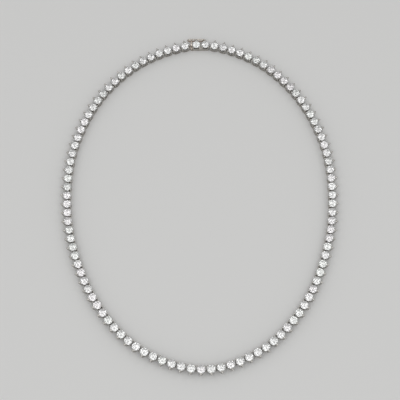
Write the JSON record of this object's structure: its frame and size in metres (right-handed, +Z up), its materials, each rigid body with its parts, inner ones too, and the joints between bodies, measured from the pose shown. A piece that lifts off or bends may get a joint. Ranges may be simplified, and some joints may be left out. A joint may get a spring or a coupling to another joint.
{
  "type": "riviere necklace",
  "caption": "Riviere necklace of equal round brilliants in hinged claw-set links, lying in an oval loop, with a hollow box clasp, folded spring tongue and figure-eight safety catch.",
  "frame": {"origin": "middle of the surface that the necklace lies on, under the centre of its bounding box", "axes": "+Z up from the surface, +Y towards the clasp at the back, +X to the right of someone who looks along +Y"},
  "size_m": [0.1196, 0.1614, 0.0031],
  "materials": {
    "diamond": "colourless cut and polished diamond",
    "white_gold": "polished, rhodium-plated white gold",
    "spring_gold": "unplated white gold, softly polished"
  },
  "bodies": {
    "necklace": {"stones_right": "diamond", "stones_left": "diamond", "clasp_stones": "diamond", "settings_right": "white_gold", "settings_left": "white_gold", "clasp_box": "white_gold", "clasp_tongue": "spring_gold"},
    "catch": {"safety_catch": "white_gold"}
  },
  "joints": [
    {"name": "catch_swing", "type": "hinge", "parent": "necklace", "child": "catch", "pos_m": [0.00175, 0.08005, 0.0012], "axis": [0, 0, -1], "range_deg": [0, 130]}
  ]
}
